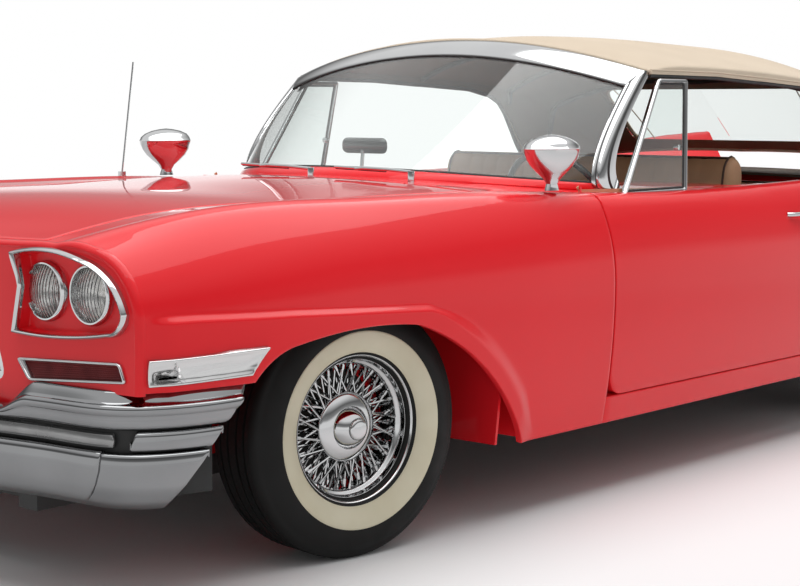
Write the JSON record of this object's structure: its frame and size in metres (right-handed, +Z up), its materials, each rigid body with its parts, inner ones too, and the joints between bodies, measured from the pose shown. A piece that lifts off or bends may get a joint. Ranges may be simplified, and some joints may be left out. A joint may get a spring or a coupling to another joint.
{
  "type": "two-door convertible car",
  "caption": "Large 1950s two-door convertible with the soft top up, wire wheels, paired headlamps, tail fins, and opening doors, hood and deck lid.",
  "frame": {"origin": "on the ground under the middle of the car's length and width", "axes": "+X forward, +Y to the car's left, +Z up"},
  "size_m": [5.5998, 2.0004, 1.4792],
  "materials": {
    "red_paint": "gloss",
    "chrome": "polished",
    "lamp_glass": "clear",
    "dark_red_mesh": "satin",
    "clear_glass": "clear",
    "beige_canvas": "woven",
    "black_steel": "satin",
    "cast_iron": "rough",
    "black_plastic": "satin",
    "tan_leather": "satin",
    "red_glass": "clear",
    "steel": "dull",
    "tyre": "matte"
  },
  "bodies": {
    "body": {"nose_panel": "red_paint", "headlamp_bezels": "chrome", "headlamp_buckets": "red_paint", "headlamp_lenses": "lamp_glass", "duct_screens": "dark_red_mesh", "grille": "chrome", "front_fender_left": "red_paint", "front_fender_right": "red_paint", "front_trim": "chrome", "cowl_panel": "red_paint", "sills": "red_paint", "quarter_panel_left": "red_paint", "quarter_panel_right": "red_paint", "tail_panel": "red_paint", "rear_shelf": "red_paint", "windshield_frame": "chrome", "windshield_glass": "clear_glass", "soft_top": "beige_canvas", "rear_window": "clear_glass", "front_bumper": "chrome", "rear_bumper": "chrome", "chassis_frame": "black_steel", "rear_rails": "black_steel", "floor_pan": "black_steel", "wheel_aprons": "red_paint", "engine_block": "cast_iron", "rear_axle": "black_steel", "dashboard": "black_plastic", "front_seat": "tan_leather", "rear_seat": "tan_leather", "fender_mirrors": "chrome", "wipers": "chrome", "antenna": "chrome", "tail_lamps": "red_glass", "exhaust": "steel", "fuel_tank": "black_steel"},
    "door_left": {"door_left": "red_paint", "vent_window_left": "chrome", "vent_glass_left": "clear_glass"},
    "door_right": {"door_right": "red_paint", "vent_window_right": "chrome", "vent_glass_right": "clear_glass"},
    "hood": {"hood": "red_paint"},
    "deck_lid": {"deck_lid": "red_paint"},
    "knuckle_left": {"knuckle_left": "cast_iron"},
    "knuckle_right": {"knuckle_right": "cast_iron"},
    "steering_wheel": {"steering_wheel": "black_plastic"},
    "front_left_wheel": {"tyre_front_left": "tyre", "wheel_front_left": "chrome"},
    "front_right_wheel": {"tyre_front_right": "tyre", "wheel_front_right": "chrome"},
    "rear_left_wheel": {"tyre_rear_left": "tyre", "wheel_rear_left": "chrome"},
    "rear_right_wheel": {"tyre_rear_right": "tyre", "wheel_rear_right": "chrome"}
  },
  "joints": [
    {"name": "steer_left", "type": "hinge", "parent": "body", "child": "knuckle_left", "pos_m": [1.85, 0.715, 0.357], "axis": [0, 0, 1], "range_deg": [-24, 40]},
    {"name": "steer_right", "type": "hinge", "parent": "body", "child": "knuckle_right", "pos_m": [1.85, -0.715, 0.357], "axis": [0, 0, 1], "range_deg": [-24, 40]},
    {"name": "steering_turn", "type": "hinge", "parent": "body", "child": "steering_wheel", "pos_m": [0.305, 0.39, 0.88], "axis": [-0.8988, 0, 0.4384], "range_deg": [-384, 640]},
    {"name": "spin_front_left", "type": "hinge", "parent": "knuckle_left", "child": "front_left_wheel", "pos_m": [1.85863, 0.7764, 0.357], "axis": [0.1392, 0.9903, 0], "continuous": true},
    {"name": "spin_front_right", "type": "hinge", "parent": "knuckle_right", "child": "front_right_wheel", "pos_m": [1.84137, -0.7764, 0.357], "axis": [0.1392, 0.9903, 0], "continuous": true},
    {"name": "spin_rear_left", "type": "hinge", "parent": "body", "child": "rear_left_wheel", "pos_m": [-1.35, 0.758, 0.357], "axis": [0, 1, 0], "continuous": true},
    {"name": "spin_rear_right", "type": "hinge", "parent": "body", "child": "rear_right_wheel", "pos_m": [-1.35, -0.758, 0.357], "axis": [0, 1, 0], "continuous": true},
    {"name": "door_left_swing", "type": "hinge", "parent": "body", "child": "door_left", "pos_m": [0.89, 0.905, 0.627], "axis": [0, 0, -1], "range_deg": [0, 65]},
    {"name": "door_right_swing", "type": "hinge", "parent": "body", "child": "door_right", "pos_m": [0.89, -0.905, 0.627], "axis": [0, 0, 1], "range_deg": [0, 65]},
    {"name": "hood_lift", "type": "hinge", "parent": "body", "child": "hood", "pos_m": [1.21, 0, 0.989], "axis": [0, -1, 0], "range_deg": [0, 55]},
    {"name": "deck_lid_lift", "type": "hinge", "parent": "body", "child": "deck_lid", "pos_m": [-1.68, 0, 0.937], "axis": [0, 1, 0], "range_deg": [0, 60]}
  ],
  "couplings": [
    {"joint": "steer_right", "follows": "steer_left", "ratio": 1},
    {"joint": "steering_turn", "follows": "steer_left", "ratio": 16}
  ]
}
